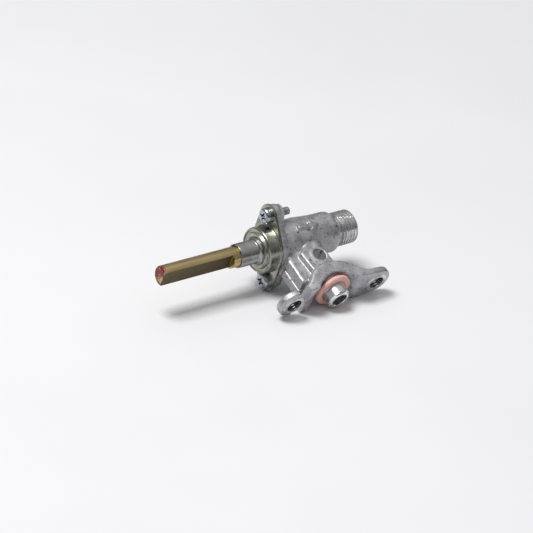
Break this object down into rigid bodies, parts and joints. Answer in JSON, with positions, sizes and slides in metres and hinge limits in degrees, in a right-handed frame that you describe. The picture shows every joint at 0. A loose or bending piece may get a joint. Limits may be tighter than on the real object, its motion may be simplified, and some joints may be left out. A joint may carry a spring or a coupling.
{
  "type": "gas valve",
  "caption": "Die-cast gas tap with a D-shaped brass stem, a threaded outlet and a saddle that clamps to a manifold pipe.",
  "frame": {"origin": "on the stem axis, where the outlet's first full thread begins, 0.6 mm inside the outlet's end face", "axes": "+X along the stem axis towards the outlet, +Z along the line of the two cover screws, away from the pipe side; the spigot points towards -Y and 30 degrees down"},
  "size_m": [0.09, 0.0374, 0.0368],
  "materials": {
    "cast_aluminium": "die-cast, machined on seats and thread",
    "zinc_plated_steel": "bright zinc plate with a faint yellow-green passivation",
    "neck_steel": "turned, zinc plated",
    "screw_steel": "blue-white zinc plate",
    "stem_brass": "drawn brass with a dab of red paint on the end face",
    "plug_brass": "turned and lapped brass",
    "spring_steel": "plain spring steel",
    "black_rubber": "matte",
    "gasket_rubber": "matte salmon-pink rubber"
  },
  "bodies": {
    "valve": {"valve_body": "cast_aluminium", "cover": "zinc_plated_steel", "cover_neck": "neck_steel", "cover_screws": "screw_steel", "inlet_gasket": "gasket_rubber"},
    "plug": {"plug": "plug_brass", "plug_spring": "spring_steel"},
    "stem": {"stem": "stem_brass", "stem_pin": "spring_steel", "spring_washer": "spring_steel"},
    "bypass_ring": {"bypass_o_ring": "black_rubber"},
    "bypass_screw": {"bypass_screw": "spring_steel"}
  },
  "joints": [
    {"name": "plug_turn", "type": "hinge", "parent": "valve", "child": "plug", "pos_m": [-0.0238, 0, 0], "axis": [-1, 0, 0], "range_deg": [0, 210]},
    {"name": "stem_push", "type": "slide", "parent": "plug", "child": "stem", "axis": [1, 0, 0], "range_m": [0, 0.0025], "stiffness_N_per_m": 1200, "springref_m": -0.004, "deforming": ["plug_spring"]},
    {"name": "bypass_lift", "type": "slide", "parent": "valve", "child": "bypass_ring", "axis": [0, -0.5, 0.866], "range_m": [0, 0.00075]},
    {"name": "bypass_turn", "type": "hinge", "parent": "bypass_ring", "child": "bypass_screw", "pos_m": [-0.0244, -0.01296, -0.00275], "axis": [0, -0.5, 0.866], "range_deg": [0, 540]}
  ],
  "couplings": [
    {"joint": "bypass_turn", "follows": "bypass_lift", "rad_per_m": 12566}
  ]
}
